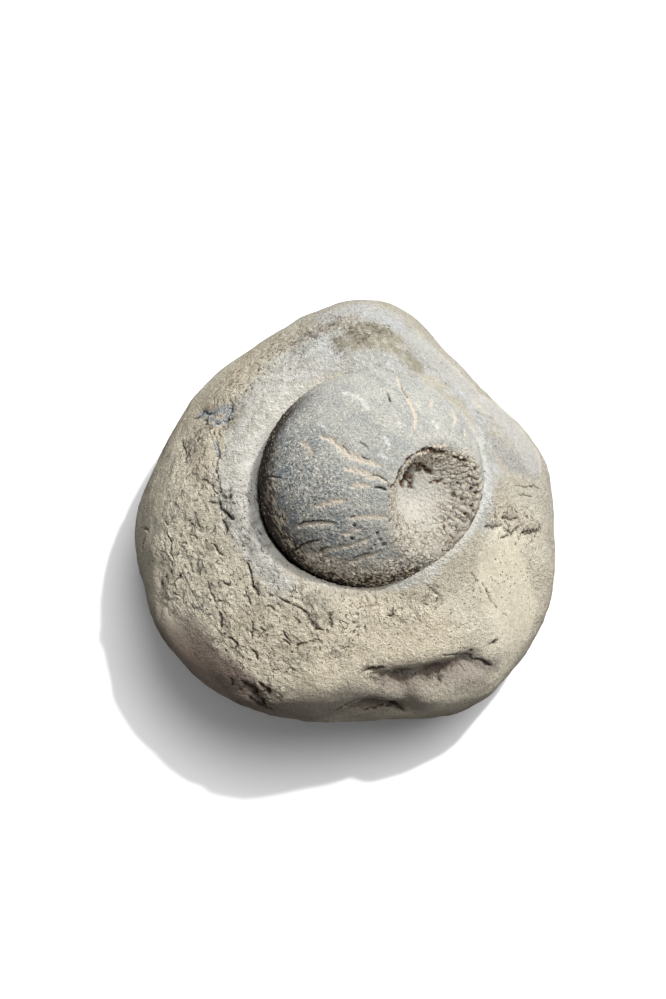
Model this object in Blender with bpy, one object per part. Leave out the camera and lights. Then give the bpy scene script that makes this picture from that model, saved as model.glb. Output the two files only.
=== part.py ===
"""Fossil sponge: a globular sponge that stands half out of the cobble it was buried in.

Two natural pieces. The cobble lies on a small flat on its underside and has a socket worn open
on top. The sponge sits in the socket, with its mouth, a ribbed funnel, leaning to the front right.
"""
import math

import bmesh
import bpy
from mathutils import Vector, noise

MM = 0.001

# Driving dimensions of the cobble, in millimetres
PLAN_RADII = (42.0, 42.5, 40.0, 41.0, 46.5, 44.5, 42.0, 42.0, 41.5,
              42.5, 42.5, 45.0, 47.0, 45.0, 43.0, 45.5, 44.5, 43.5)
WAIST_HEIGHTS = (16.0, 17.0, 22.5, 17.0, 10.5, 17.0, 28.0, 22.5, 15.5)
WAIST_HEIGHT = 21.0
RISE_ABOVE_WAIST = 24.5
DROP_BELOW_WAIST = 22.4
LEVEL_FULLNESS = 0.74
FLANK_FULLNESS = 0.95
WEATHERING = 0.45
WEATHERING_SIZE = 15.0

# Driving dimensions of the sponge, in millimetres
SPONGE_RADIUS = 21.8
SPONGE_CENTRE = Vector((5.3, -2.1, 43.0))
SPONGE_BULGE = 0.7
BULGE_TOWARDS = Vector((-0.82, -0.57, 0.0)).normalized()
BURIED_FLATTENING = 0.82
MOUTH_AXIS = Vector((0.64, -0.49, 0.59)).normalized()
MOUTH_RADIUS = 11.8
MOUTH_DEPTH = 8.6
MOUTH_UPWARD_LEAN = 3.0
RIB_COUNT = 44
RIB_HEIGHT = 0.45
CANAL_DEPTH = 0.45
SOCKET_GAP = 0.35

# Folds of the cobble: start, end, half width across, depth (a negative depth stands proud)
HOLLOW_UNDER_BROW = (
    ((6.0, -39.5, 33.5), (11.0, -39.5, 31.5), 2.2, 1.5),
    ((11.0, -39.5, 31.5), (17.5, -38.0, 30.5), 2.7, 2.2),
    ((17.5, -38.0, 30.5), (23.5, -35.0, 29.5), 2.4, 2.0),
    ((23.5, -35.0, 29.5), (28.0, -34.0, 23.5), 1.3, 1.0),
)
BROW = ((7.5, -37.0, 36.0), (22.5, -32.5, 32.5), 3.2, -0.7)
FRONT_LOBES = (
    ((16.0, -40.5, 26.5), (29.0, -34.5, 20.0), 5.0, -1.1),
    ((-6.0, -42.0, 34.5), (6.5, -40.5, 31.0), 4.5, -1.0),
)
VALLEY_BETWEEN_LOBES = ((11.5, -40.0, 30.0), (12.0, -41.5, 25.5), 1.9, 1.1)
LOW_HOLLOW = ((4.0, -43.0, 27.0), (11.0, -42.0, 22.0), 1.9, 2.2)
LEFT_SHOULDER = (
    ((-36.5, -24.5, 25.5), (-30.5, -31.5, 26.0), 3.6, -0.4),
    ((-30.5, -31.5, 26.0), (-23.0, -36.5, 29.0), 3.6, -0.5),
    ((-23.0, -36.5, 29.0), (-12.5, -40.5, 31.0), 3.6, -0.4),
    ((-31.5, -32.5, 22.5), (-24.5, -38.0, 25.0), 2.2, 0.5),
    ((-24.5, -38.0, 25.0), (-17.0, -41.5, 26.0), 2.2, 0.5),
)
LEFT_NOTCH = ((-18.5, -40.5, 29.0), (-15.0, -42.5, 26.5), 1.5, 1.3)
LEFT_SCARS = (
    ((-36.5, -14.5, 28.5), (-37.5, -20.5, 26.0), 2.4, 0.9),
    ((-33.0, 16.5, 27.0), (-31.0, 3.5, 36.0), 2.8, 0.5),
    ((-29.0, 18.0, 31.0), (-23.5, 14.5, 38.5), 2.8, 0.7),
)
FOLDS = (*HOLLOW_UNDER_BROW, BROW, *FRONT_LOBES, VALLEY_BETWEEN_LOBES, LOW_HOLLOW, *LEFT_SHOULDER,
         LEFT_NOTCH, *LEFT_SCARS)
# Ground around the sponge: how far the cobble rises to it, every 30 deg from +X (it dips on the
# left), and over what distance
SKIRT_RISES = (4.4, 3.4, 2.0, -0.6, -1.6, -1.6, -1.6, -1.6, -1.6, -1.2, 2.9, 5.0)
SKIRT_WIDTH = 6.0
# Worn facets, on the upper right and the lower left: outward direction, distance from the
# waist's middle, and the share of what stands beyond that is worn off; and how soft their edges are
FACETS = (
    (Vector((0.52, 0.50, 0.69)).normalized(), 37.0, 0.7),
    (Vector((-0.48, -0.35, 0.80)).normalized(), 29.0, 0.7),
)
FACET_EDGE = 2.0

# Triangles: the cobble's are large underneath, and smallest on the folded front
COBBLE_SUBDIVISIONS = 4
UNDERSIDE_BELOW = -0.35
FOLDED_FRONT_LOW = Vector((-8.0, -60.0, 15.0))
FOLDED_FRONT_HIGH = Vector((34.0, -27.0, 38.0))

# The sponge's
MOUTH_SEGMENTS = 2 * RIB_COUNT
MOUTH_RINGS = 22


def clear_scene():
    for old in list(bpy.data.objects):
        bpy.data.objects.remove(old, do_unlink=True)


def collection(name):
    made = bpy.data.collections.new(name)
    bpy.context.scene.collection.children.link(made)
    return made


def stone_material(name, colour, roughness):
    material = bpy.data.materials.new(name)
    material.use_nodes = True
    shader = material.node_tree.nodes["Principled BSDF"]
    shader.inputs["Base Color"].default_value = (*colour, 1.0)
    shader.inputs["Roughness"].default_value = roughness
    shader.inputs["Metallic"].default_value = 0.0
    return material


def place(piece, home, material):
    for linked in list(piece.users_collection):
        linked.objects.unlink(piece)
    home.objects.link(piece)
    piece.data.materials.clear()
    piece.data.materials.append(material)
    piece.data.shade_smooth()


def smooth_step(low, high, value):
    t = min(1.0, max(0.0, (value - low) / (high - low)))
    return t * t * (3.0 - 2.0 * t)


def all_round(values, angle):
    """What the values, evenly spaced round the cobble from +X, give at an angle between them."""
    count = len(values)
    place_on_curve = angle / (2.0 * math.pi) * count % count
    step = int(place_on_curve)
    t = place_on_curve - step
    before, here, after, beyond = (values[(step + i) % count] for i in (-1, 0, 1, 2))
    return 0.5 * (2.0 * here + (after - before) * t
                  + (2.0 * before - 5.0 * here + 4.0 * after - beyond) * t ** 2
                  + (3.0 * here - before - 3.0 * after + beyond) * t ** 3)


def fuller(value, power):
    """A sine or cosine made fuller: the top and underside broader, or the flanks steeper."""
    return math.copysign(abs(value) ** power, value)


def cobble_body(direction):
    """The plain cobble: a point in millimetres for a direction on the unit sphere."""
    level = math.hypot(direction.x, direction.y)
    angle = math.atan2(direction.y, direction.x)
    out = all_round(PLAN_RADII, angle) * fuller(level, LEVEL_FULLNESS)
    waist = WAIST_HEIGHT + (all_round(WAIST_HEIGHTS, angle) - WAIST_HEIGHT) * level ** 2
    height = RISE_ABOVE_WAIST if direction.z > 0.0 else DROP_BELOW_WAIST
    ratio = out / level if level > 1e-9 else 0.0
    return Vector((direction.x * ratio, direction.y * ratio,
                   waist + height * fuller(direction.z, FLANK_FULLNESS)))


def distance_to_run(point, start, end):
    run = end - start
    along = min(1.0, max(0.0, (point - start).dot(run) / run.length_squared))
    return (point - start - along * run).length


def fold_depth(point):
    """How far the folds push the surface in at a point."""
    depth = 0.0
    for start, end, half_width, fold in FOLDS:
        reach = distance_to_run(point, Vector(start), Vector(end)) / half_width
        depth += fold * math.exp(-reach * reach)
    return depth


def skirt_rise(point):
    if point.z < WAIST_HEIGHT:
        return 0.0
    across, back = point.x - SPONGE_CENTRE.x, point.y - SPONGE_CENTRE.y
    near = 1.0 - smooth_step(0.0, SKIRT_WIDTH, math.hypot(across, back) - SPONGE_RADIUS)
    return all_round(SKIRT_RISES, math.atan2(back, across)) * near


def eased(excess):
    """The excess over a facet's plane, from nothing, eased in over the facet's soft edge."""
    if excess > FACET_EDGE:
        return excess
    return max(excess + FACET_EDGE, 0.0) ** 2 / (4.0 * FACET_EDGE)


def wear_facets(point):
    """Draws what stands beyond a facet's plane most of the way back to it."""
    middle = Vector((0.0, 0.0, WAIST_HEIGHT))
    for normal, reach, wear in FACETS:
        beyond = (point - middle).dot(normal) - reach
        point = point - normal * wear * eased(beyond)
    return point


def refine(mesh, wanted):
    """Quarters the triangles whose middles, as directions from the cobble's middle, are wanted."""
    work = bmesh.new()
    work.from_mesh(mesh)
    chosen = [face for face in work.faces if wanted(face.calc_center_median().normalized())]
    edges = {edge for face in chosen for edge in face.edges}
    bmesh.ops.subdivide_edges(work, edges=sorted(edges, key=lambda edge: edge.index), cuts=1,
                              use_grid_fill=True)
    bmesh.ops.triangulate(work, faces=[face for face in work.faces if len(face.verts) > 3])
    work.to_mesh(mesh)
    work.free()


def above_underside(direction):
    return direction.z > UNDERSIDE_BELOW


def on_folded_front(direction):
    spot = cobble_body(direction)
    return all(low < at < high for low, at, high in zip(FOLDED_FRONT_LOW, spot, FOLDED_FRONT_HIGH))


def shape_cobble(mesh):
    refine(mesh, above_underside)
    refine(mesh, on_folded_front)
    for vertex in mesh.vertices:
        vertex.co = cobble_body(vertex.co.normalized())
    mesh.update()
    normals = [vertex.normal.copy() for vertex in mesh.vertices]
    for vertex, normal in zip(mesh.vertices, normals):
        point = wear_facets(vertex.co)
        lump = WEATHERING * noise.noise(point / WEATHERING_SIZE)
        point = point + normal * (lump - fold_depth(point))
        point.z += skirt_rise(point)
        point.z = max(point.z, 0.0)
        vertex.co = point


def mouth_turn():
    """The turn that carries +Z onto the mouth's axis."""
    return Vector((0.0, 0.0, 1.0)).rotation_difference(MOUTH_AXIS)


def sponge_relief(polar, around):
    """Ribs round the mouth and canals on the flank, by angle from the mouth's axis and around it."""
    rim = math.asin(MOUTH_RADIUS / SPONGE_RADIUS)
    on_ribs = smooth_step(0.35 * rim, 0.7 * rim, polar) * (1.0 - smooth_step(rim, 1.3 * rim, polar))
    ribs = RIB_HEIGHT * on_ribs * (math.cos(RIB_COUNT * around) - 1.0)
    on_canals = smooth_step(1.35 * rim, 1.6 * rim, polar) * (1.0 - smooth_step(2.2 * rim, 2.9 * rim, polar))
    canals = CANAL_DEPTH * on_canals * max(0.0, math.cos(RIB_COUNT / 4.0 * around)) ** 6
    return ribs - canals


def mouth_funnel(polar):
    """The move from the sphere into the funnel, whose foot lies nearer its upper side."""
    rim = math.asin(MOUTH_RADIUS / SPONGE_RADIUS)
    inward = 1.0 - smooth_step(0.1 * rim, 1.08 * rim, polar)
    upward = (Vector((0.0, 0.0, 1.0)) - MOUTH_AXIS * MOUTH_AXIS.z).normalized()
    return upward * MOUTH_UPWARD_LEAN * inward - MOUTH_AXIS * MOUTH_DEPTH * inward


def bulged(direction, radius):
    """A point of the sponge's globe, which swells towards the front left."""
    return direction * (radius + SPONGE_BULGE * max(0.0, direction.dot(BULGE_TOWARDS)) ** 2)


def shape_sponge(mesh):
    turn = mouth_turn()
    for vertex in mesh.vertices:
        direction = vertex.co.normalized()
        polar = math.acos(min(1.0, max(-1.0, direction.z)))
        around = math.atan2(direction.y, direction.x)
        point = bulged(turn @ direction, SPONGE_RADIUS + sponge_relief(polar, around))
        point += mouth_funnel(polar)
        if point.z < 0.0:
            point.z *= BURIED_FLATTENING
        vertex.co = SPONGE_CENTRE + point


def finish_scale(mesh, shift):
    for vertex in mesh.vertices:
        vertex.co = (vertex.co + shift) * MM


def make_cobble(home):
    bpy.ops.mesh.primitive_ico_sphere_add(subdivisions=COBBLE_SUBDIVISIONS, radius=1.0)
    cobble = bpy.context.object
    cobble.name = "matrix_stone"
    place(cobble, home, stone_material("matrix", (0.52, 0.46, 0.36), 0.9))
    shape_cobble(cobble.data)
    return cobble


def make_sponge(home):
    bpy.ops.mesh.primitive_uv_sphere_add(segments=MOUTH_SEGMENTS, ring_count=MOUTH_RINGS, radius=1.0)
    sponge = bpy.context.object
    sponge.name = "sponge_fossil"
    place(sponge, home, stone_material("fossil", (0.40, 0.40, 0.37), 0.85))
    shape_sponge(sponge.data)
    return sponge


def make_socket_cutter(home):
    bpy.ops.mesh.primitive_uv_sphere_add(segments=48, ring_count=24, radius=1.0)
    cutter = bpy.context.object
    cutter.name = "socket_cutter"
    place(cutter, home, stone_material("cutter", (0.5, 0.5, 0.5), 1.0))
    for vertex in cutter.data.vertices:
        point = bulged(vertex.co.normalized(), SPONGE_RADIUS + SOCKET_GAP)
        if point.z < 0.0:
            point.z *= BURIED_FLATTENING
        vertex.co = SPONGE_CENTRE + point
    cutter.hide_render = True
    cutter.display_type = "WIRE"
    return cutter


def cut_socket(cobble, cutter):
    cut = cobble.modifiers.new("socket", "BOOLEAN")
    cut.operation = "DIFFERENCE"
    cut.solver = "EXACT"
    cut.object = cutter


def centring_shift(mesh):
    """The move that brings the middle of the cobble's underside over the origin."""
    xs = [vertex.co.x for vertex in mesh.vertices]
    ys = [vertex.co.y for vertex in mesh.vertices]
    return Vector((-(min(xs) + max(xs)) / 2.0, -(min(ys) + max(ys)) / 2.0, 0.0))


def main():
    clear_scene()
    parts = collection("fossil_sponge")
    cutters = collection("cutters")
    cobble = make_cobble(parts)
    sponge = make_sponge(parts)
    cutter = make_socket_cutter(cutters)
    shift = centring_shift(cobble.data)
    for piece in (cobble, sponge, cutter):
        finish_scale(piece.data, shift)
    cut_socket(cobble, cutter)


main()
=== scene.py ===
"""The fossil sponge and its cobble: the finished look of both stones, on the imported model's frame.

The stones are shaped in millimetres about the cobble's own middle, and carried to the frame last.
Marks are given where the photograph shows them, in its pixels, and are cast along the line of
sight onto the stone, so each one sits on the surface that carries it. What a mark or a ground
covers is kept as values on the mesh, which the materials read.
"""
import math

import bpy
import numpy as np
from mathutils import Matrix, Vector, noise
from mathutils.bvhtree import BVHTree


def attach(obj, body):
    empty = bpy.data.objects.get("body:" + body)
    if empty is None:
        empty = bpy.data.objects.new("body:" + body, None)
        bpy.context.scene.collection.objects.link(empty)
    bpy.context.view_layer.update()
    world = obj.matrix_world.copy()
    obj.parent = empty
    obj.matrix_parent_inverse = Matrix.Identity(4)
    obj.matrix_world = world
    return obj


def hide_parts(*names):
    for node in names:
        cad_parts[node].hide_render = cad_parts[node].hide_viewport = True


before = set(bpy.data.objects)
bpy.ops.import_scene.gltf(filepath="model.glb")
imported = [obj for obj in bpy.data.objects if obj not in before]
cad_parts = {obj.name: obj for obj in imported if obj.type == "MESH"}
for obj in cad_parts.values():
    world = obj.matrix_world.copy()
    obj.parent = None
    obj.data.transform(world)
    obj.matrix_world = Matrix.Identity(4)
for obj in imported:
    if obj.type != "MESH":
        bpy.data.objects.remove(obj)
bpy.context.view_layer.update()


def unit(*direction):
    return np.array(direction) / np.linalg.norm(direction)


MM = 0.001
# From the cobble's own middle to the frame's
TO_FRAME = np.array((0.29, -0.81, 0.0))

# The photograph's place: its line of sight, and what one of its pixels measures on the stone
SIGHT_TARGET = np.array((-2.596, 2.035, 25.85))
SIGHT_ELEVATION = math.radians(65.0)
SIGHT_DISTANCE = 1000.0
PHOTO_MIDDLE = np.array((333.0, 499.5))
PIXEL = 0.2
SIGHT_RIGHT = np.array((1.0, 0.0, 0.0))
SIGHT_UP = np.array((0.0, math.sin(SIGHT_ELEVATION), math.cos(SIGHT_ELEVATION)))
SIGHT_BACK = np.array((0.0, -math.cos(SIGHT_ELEVATION), math.sin(SIGHT_ELEVATION)))
LENS, SENSOR = 180.2, 36.0

# Where the light comes from: the back right, and high
LIGHT_TURN, LIGHT_RISE = math.radians(31.0), math.radians(64.0)
LIGHT_WAY = np.array((math.cos(LIGHT_RISE) * math.cos(LIGHT_TURN),
                      math.cos(LIGHT_RISE) * math.sin(LIGHT_TURN), math.sin(LIGHT_RISE)))
# The side that lies in shade
FRONT_LEFT = np.array((-0.64, -0.77, 0.0))
# One sun is sharp, the other as wide as a studio's screen: energy, and width in degrees
SHARP_SUN = (2.3, 3.0)
WIDE_SUN = (2.6, 60.0)
SKY_STRENGTH = 0.40

# The cobble, as the solid has it
PLAN_RADII = np.array((42.0, 42.5, 40.0, 41.0, 46.5, 44.5, 42.0, 42.0, 41.5,
                       42.5, 42.5, 45.0, 47.0, 45.0, 43.0, 45.5, 44.5, 43.5))
WAIST_HEIGHTS = np.array((16.0, 17.0, 22.5, 17.0, 10.5, 17.0, 28.0, 22.5, 15.5))
WAIST_HEIGHT = 21.0
RISE_ABOVE_WAIST = 24.5
DROP_BELOW_WAIST = 22.4
LEVEL_FULLNESS = 0.74
FLANK_FULLNESS = 0.95
WEATHERING = 0.45
WEATHERING_SIZE = 15.0
# Folds: start, end, half width across, depth (a negative depth stands proud)
HOLLOW_UNDER_BROW = (
    ((6.0, -39.5, 33.5), (11.0, -39.5, 31.5), 2.2, 1.5),
    ((11.0, -39.5, 31.5), (17.5, -38.0, 30.5), 2.7, 2.2),
    ((17.5, -38.0, 30.5), (23.5, -35.0, 29.5), 2.4, 2.0),
    ((23.5, -35.0, 29.5), (28.0, -34.0, 23.5), 1.3, 1.0),
)
BROW = ((7.5, -37.0, 36.0), (22.5, -32.5, 32.5), 3.2, -0.7)
FRONT_LOBES = (
    ((16.0, -40.5, 26.5), (29.0, -34.5, 20.0), 5.0, -1.1),
    ((-6.0, -42.0, 34.5), (6.5, -40.5, 31.0), 4.5, -1.0),
)
VALLEY_BETWEEN_LOBES = ((11.5, -40.0, 30.0), (12.0, -41.5, 25.5), 1.9, 1.1)
LOW_HOLLOW = ((4.0, -43.0, 27.0), (11.0, -42.0, 22.0), 1.9, 2.2)
LEFT_SHOULDER = (
    ((-36.5, -24.5, 25.5), (-30.5, -31.5, 26.0), 3.6, -0.4),
    ((-30.5, -31.5, 26.0), (-23.0, -36.5, 29.0), 3.6, -0.5),
    ((-23.0, -36.5, 29.0), (-12.5, -40.5, 31.0), 3.6, -0.4),
    ((-31.5, -32.5, 22.5), (-24.5, -38.0, 25.0), 2.2, 0.5),
    ((-24.5, -38.0, 25.0), (-17.0, -41.5, 26.0), 2.2, 0.5),
)
LEFT_NOTCH = ((-18.5, -40.5, 29.0), (-15.0, -42.5, 26.5), 1.5, 1.3)
LEFT_SCARS = (
    ((-36.5, -14.5, 28.5), (-37.5, -20.5, 26.0), 2.4, 0.9),
    ((-33.0, 16.5, 27.0), (-31.0, 3.5, 36.0), 2.8, 0.5),
    ((-29.0, 18.0, 31.0), (-23.5, 14.5, 38.5), 2.8, 0.7),
)
FOLDS = (*HOLLOW_UNDER_BROW, BROW, *FRONT_LOBES, VALLEY_BETWEEN_LOBES, LOW_HOLLOW, *LEFT_SHOULDER,
         LEFT_NOTCH, *LEFT_SCARS)
# How far the ground rises to the sponge, every 30 deg from +X, and over what distance
SKIRT_RISES = np.array((4.4, 3.4, 2.0, -0.6, -1.6, -1.6, -1.6, -1.6, -1.6, -1.2, 2.9, 5.0))
SKIRT_WIDTH = 6.0
# Worn facets: outward direction, distance from the waist's middle, share worn off
FACETS = ((unit(0.52, 0.50, 0.69), 37.0, 0.7), (unit(-0.48, -0.35, 0.80), 29.0, 0.7))
FACET_EDGE = 2.0

# The sponge, as the solid has it
SPONGE_RADIUS = 21.8
SPONGE_CENTRE = np.array((5.3, -2.1, 43.0))
SPONGE_BULGE = 0.7
BULGE_TOWARDS = unit(-0.82, -0.57, 0.0)
BURIED_FLATTENING = 0.82
MOUTH_AXIS = unit(0.64, -0.49, 0.59)
MOUTH_RIM = math.asin(11.8 / SPONGE_RADIUS)
MOUTH_DEPTH = 8.6
MOUTH_UPWARD_LEAN = 3.0
RIB_COUNT = 44
RIB_LENGTH = MOUTH_RIM * SPONGE_RADIUS
BEAD_LENGTH = 1.5
# Where the ribbed ground ends, as a share of the rim's angle, every 30 deg from the picture's
# right, turning upwards
RIBBED_REACH = np.array((1.24, 1.12, 0.90, 0.88, 0.91, 0.97, 1.03, 1.08, 1.14, 1.2, 1.38, 1.36))
# The mouth's right side is a comb of ribs and its upper side a torn wall: middle and half width
# of each, in degrees round the mouth
COMB_OF_RIBS = (-2.0, 34.0)
TORN_WALL = (92.0, 52.0)

# Open seam between the sponge and the cobble: direction in plan in degrees, and width
SEAM = ((130, -0.2), (155, 0.1), (180, 0.5), (205, 0.9), (225, 1.0), (245, 0.8), (262, 0.4),
        (278, 0.1), (290, -0.2))

# Rings on the ground round the sponge: distance from the socket, half width, and strength every
# 30 deg from +X. The collar is raised a little and pale, and on the left its paleness is partly
# painted light; beyond it the ground is painted light where the sponge's shadow falls.
COLLAR = (0.6, 0.8, np.array((0.9, 0.7, 0.5, 0.3, 0.2, 0.5, 0.9, 1.0, 0.7, 0.4, 0.6, 0.9)))
COLLAR_HEIGHT = 0.15
BLEACHED = (2.2, 2.2, np.array((0.0, 0.0, 0.0, 0.0, 0.2, 0.5, 0.9, 1.0, 0.3, 0.0, 0.0, 0.0)))

# Cracks of the cobble in the photograph's pixels, with half width and depth in millimetres
CRACKS = (
    # on the left
    (((219, 480), (221, 491), (218, 501)), 0.22, 0.6),
    (((218, 501), (220, 509), (226, 513), (231, 519), (235, 521)), 0.34, 1.0),
    (((207, 480), (214, 490), (219, 496)), 0.20, 0.5), (((208, 502), (218, 504)), 0.18, 0.4),
    (((196, 461), (207, 470), (216, 477)), 0.16, 0.4),
    (((222, 521), (226, 529), (226, 533)), 0.42, 0.9),
    (((223, 490), (229, 489), (231, 495), (225, 499)), 0.16, 0.4),
    (((164, 521), (167, 526), (168, 537), (170, 542), (170, 553), (174, 561)), 0.20, 0.6),
    (((188, 527), (191, 524), (197, 527)), 0.16, 0.4),
    (((189, 535), (196, 537), (200, 543)), 0.18, 0.4),
    (((178, 543), (189, 544), (195, 538)), 0.15, 0.4),
    (((213, 544), (216, 550), (222, 555)), 0.24, 0.6),
    (((208, 582), (211, 593), (216, 602), (222, 600), (223, 607)), 0.20, 0.6),
    (((222, 581), (231, 585)), 0.20, 0.5), (((142, 529), (149, 529)), 0.26, 0.7),
    (((146, 534), (142, 548), (143, 557)), 0.36, 0.9), (((165, 458), (175, 450)), 0.20, 0.5),
    (((212, 427), (216, 440), (219, 454), (217, 470), (219, 480)), 0.20, 0.5),
    (((219, 429), (219, 442)), 0.16, 0.4), (((215, 398), (214, 405)), 0.16, 0.4),
    (((182, 440), (186, 452), (185, 462)), 0.30, 0.4),
    # at the lower left
    (((247, 561), (250, 571), (253, 586), (259, 595)), 0.30, 0.9),
    (((245, 591), (250, 604)), 0.18, 0.5), (((219, 611), (221, 620), (221, 627)), 0.42, 1.0),
    (((224, 633), (231, 638), (236, 643), (236, 648)), 0.26, 0.7),
    (((252, 650), (256, 655), (258, 660)), 0.30, 0.8),
    (((284, 630), (286, 638), (291, 643)), 0.22, 0.6),
    (((249, 614), (253, 626), (251, 639)), 0.18, 0.5), (((267, 605), (274, 611)), 0.18, 0.4),
    (((294, 617), (300, 623)), 0.20, 0.5), (((260, 628), (265, 632)), 0.18, 0.4),
    (((231, 677), (233, 686)), 0.26, 0.6),
    (((244, 681), (251, 688), (259, 697), (264, 706)), 0.55, 1.2),
    (((258, 683), (264, 686), (270, 696)), 0.40, 0.9),
    (((250, 697), (262, 707), (276, 712)), 0.42, 0.8),
    # below the sponge
    (((265, 592), (277, 597), (290, 603), (302, 610)), 0.22, 0.6),
    (((302, 609), (308, 618), (316, 629), (326, 631)), 0.30, 0.8),
    (((283, 640), (290, 645)), 0.22, 0.5), (((327, 614), (331, 620), (331, 626)), 0.30, 0.8),
    (((365, 623), (367, 632)), 0.20, 0.5), (((386, 616), (392, 616), (394, 611)), 0.18, 0.5),
    (((356, 612), (358, 618)), 0.26, 0.5),
    (((285, 632), (289, 642), (297, 645), (308, 643), (316, 641)), 0.18, 0.5),
    # on the right
    (((502, 517), (510, 518), (518, 518)), 0.36, 0.8),
    (((486, 526), (496, 527), (504, 526)), 0.30, 0.6),
    (((496, 539), (510, 536), (514, 530), (526, 524)), 0.28, 0.6),
    (((523, 533), (535, 530), (541, 531)), 0.42, 0.9), (((504, 528), (514, 535)), 0.22, 0.5),
    (((500, 508), (515, 506), (530, 508)), 0.14, 0.3),
    (((505, 498), (524, 495), (538, 498)), 0.14, 0.3),
    (((515, 487), (530, 486), (542, 489)), 0.14, 0.3),
    (((493, 500), (496, 512), (494, 520)), 0.14, 0.3),
    (((469, 561), (471, 575), (480, 583), (487, 589), (489, 599), (495, 605), (510, 618)),
     0.14, 0.4),
    (((427, 584), (434, 591), (440, 593)), 0.20, 0.4), (((437, 596), (437, 602)), 0.20, 0.4),
    (((422, 604), (430, 605)), 0.18, 0.4),
    # at the front
    (((443, 654), (456, 655), (467, 654), (476, 659)), 0.24, 0.8),
    (((475, 658), (482, 661), (490, 666)), 0.38, 1.0),
    (((366, 669), (374, 669), (383, 667)), 0.36, 0.9),
    (((335, 711), (345, 706), (357, 700), (370, 697), (384, 698)), 0.24, 0.6),
    (((359, 709), (367, 709), (380, 706), (392, 706)), 0.20, 0.6),
    (((388, 701), (397, 705), (403, 710)), 0.42, 1.0), (((490, 644), (497, 641)), 0.28, 0.6),
    (((340, 648), (348, 647), (352, 650)), 0.16, 0.3), (((430, 681), (440, 679)), 0.14, 0.3),
)
PITS = (
    ((162, 583), 0.50, 0.9), ((179, 576), 0.42, 0.7), ((171, 571), 0.36, 0.5),
    ((172, 564), 0.30, 0.5), ((166, 577), 0.30, 0.4), ((354, 622), 0.30, 0.7),
    ((357, 627), 0.36, 0.8), ((354, 631), 0.28, 0.6), ((358, 636), 0.24, 0.5),
    ((451, 613), 0.24, 0.5), ((492, 580), 0.20, 0.4), ((493, 569), 0.20, 0.4),
    ((473, 591), 0.24, 0.5), ((481, 593), 0.22, 0.4), ((496, 560), 0.22, 0.4),
    ((493, 501), 0.30, 0.6), ((295, 340), 0.40, 0.6), ((272, 344), 0.32, 0.4),
    ((279, 336), 0.26, 0.3), ((262, 347), 0.26, 0.4), ((237, 371), 0.40, 0.5),
    ((258, 370), 0.34, 0.4), ((246, 390), 0.26, 0.4), ((290, 368), 0.30, 0.3),
    ((333, 324), 0.45, 0.4), ((343, 319), 0.28, 0.3), ((197, 439), 0.30, 0.5),
    ((198, 407), 0.24, 0.3), ((231, 497), 0.34, 0.6), ((225, 650), 0.30, 0.4),
    ((495, 643), 0.42, 0.7), ((471, 650), 0.36, 0.6), ((415, 675), 0.26, 0.4),
    ((505, 517), 0.34, 0.5), ((526, 532), 0.32, 0.5), ((539, 530), 0.34, 0.5),
    ((516, 544), 0.26, 0.4), ((536, 550), 0.26, 0.4), ((246, 684), 0.50, 0.8),
    ((254, 692), 0.60, 1.0), ((262, 700), 0.55, 0.9), ((268, 692), 0.45, 0.7),
    ((256, 702), 0.40, 0.6), ((241, 690), 0.35, 0.5),
)
# Small swellings of the cobble: pixel, half width and height in millimetres
SWELLINGS = (
    ((156, 550), 2.6, 0.7), ((177, 568), 1.2, 0.4), ((227, 494), 0.8, 0.4), ((392, 611), 0.9, 0.3),
    ((240, 676), 1.6, 0.4), ((262, 688), 0.8, 0.5), ((271, 700), 0.9, 0.4),
)
# Grounds of the cobble: lines in pixels with the half width of the ground in millimetres.
# Rough and worn ground differ in shape, the others in colour.
ROUGH = (
    (((200, 440), (190, 490), (185, 540), (180, 580)), 8.5),
    (((235, 520), (240, 570), (265, 610), (320, 625)), 7.5), (((290, 650), (262, 690)), 5.0),
    (((225, 600), (245, 650)), 6.0), (((345, 605), (400, 610), (430, 600)), 3.5),
    (((500, 520), (540, 530)), 3.4), (((370, 669), (400, 674), (430, 670), (460, 662)), 2.2),
    (((206, 440), (232, 395), (262, 366), (300, 342), (335, 326)), 4.0),
)
WORN = (
    (((163, 615), (183, 658), (220, 692)), 3.6), (((415, 340), (450, 372), (485, 405)), 3.5),
    (((500, 412), (528, 448)), 5.5), (((500, 560), (520, 620)), 7.0),
)
TAN = (
    (((412, 338), (445, 368), (470, 392)), 3.0), (((500, 415), (525, 446)), 5.0),
    (((498, 445), (512, 462), (535, 466)), 2.5),
)
EARTHY = (
    (((245, 640), (320, 655), (420, 640)), 8.0), (((345, 603), (400, 604), (425, 600)), 2.8),
    (((215, 425), (200, 470)), 4.0), (((490, 500), (520, 520), (540, 535)), 3.0),
)
# Painted shade on the front lobes and the low front, which lie half in shade
DULL = (
    (((300, 712), (360, 700), (406, 697)), 5.5), (((392, 676), (440, 672), (486, 668)), 3.9),
)
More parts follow.
